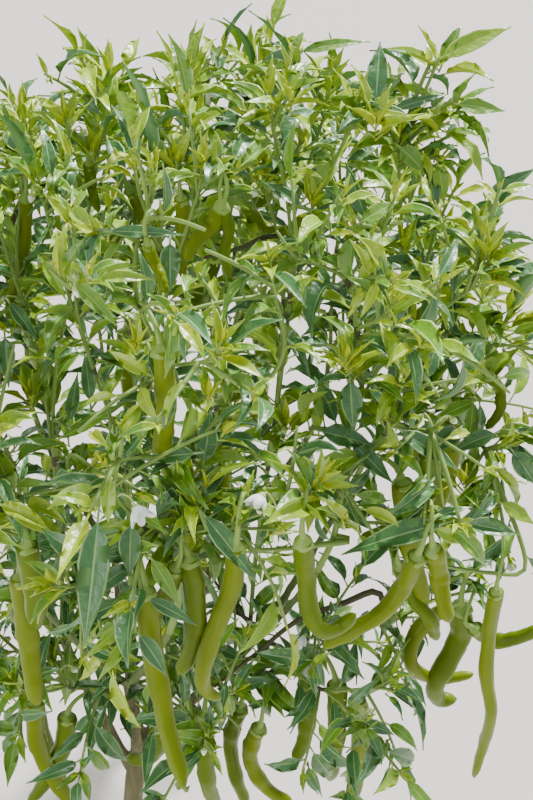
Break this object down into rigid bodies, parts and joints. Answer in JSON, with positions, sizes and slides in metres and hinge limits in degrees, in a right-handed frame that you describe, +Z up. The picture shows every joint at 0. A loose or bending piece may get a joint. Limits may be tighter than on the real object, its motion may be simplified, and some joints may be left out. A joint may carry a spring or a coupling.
{
  "type": "chilli pepper plant",
  "caption": "Whole fruiting chilli pepper bush: woody main stem forking into green limbs, with leafy masses of twigs that carry long hanging pods, rooted in level ground.",
  "frame": {"origin": "middle of the flat cut under the main stem, at ground level", "axes": "+Z up, +X to the viewer's right and +Y away from the viewer in the reference view"},
  "size_m": [0.5264, 0.5289, 0.6706],
  "materials": {
    "bark": "grey-brown to olive, finely ridged woody stem with pale corky lines, matt",
    "green_stem": "smooth green young wood with purple-tinted joints, slightly satin",
    "foliage": "glossy leaves from yellow-green young ones to dark green old ones, with yellow-green pods"
  },
  "bodies": {
    "root": {"main_stem": "bark", "bough_right": "bark", "bough_back_left": "bark", "bough_front_left": "bark", "bough_back_right": "bark", "bough_left": "bark", "limb_right_a": "green_stem", "limb_right_b": "green_stem", "limb_back_left_a": "green_stem", "limb_back_left_b": "green_stem", "limb_front_left_a": "green_stem", "limb_front_left_b": "green_stem", "limb_back_right_a": "green_stem", "limb_back_right_b": "green_stem", "limb_left_a": "green_stem", "limb_left_b": "green_stem", "foliage_right_top": "foliage", "foliage_right_outer_a": "foliage", "foliage_right_outer_b": "foliage", "foliage_right_low": "foliage", "foliage_back_left_top": "foliage", "foliage_back_left_outer_a": "foliage", "foliage_back_left_outer_b": "foliage", "foliage_back_left_low": "foliage", "foliage_front_left_top": "foliage", "foliage_front_left_outer_a": "foliage", "foliage_front_left_outer_b": "foliage", "foliage_front_left_low": "foliage", "foliage_back_right_top": "foliage", "foliage_back_right_outer_a": "foliage", "foliage_back_right_outer_b": "foliage", "foliage_back_right_low": "foliage", "foliage_left_top": "foliage", "foliage_left_outer_a": "foliage", "foliage_left_outer_b": "foliage", "foliage_left_low": "foliage"}
  },
  "joints": []
}
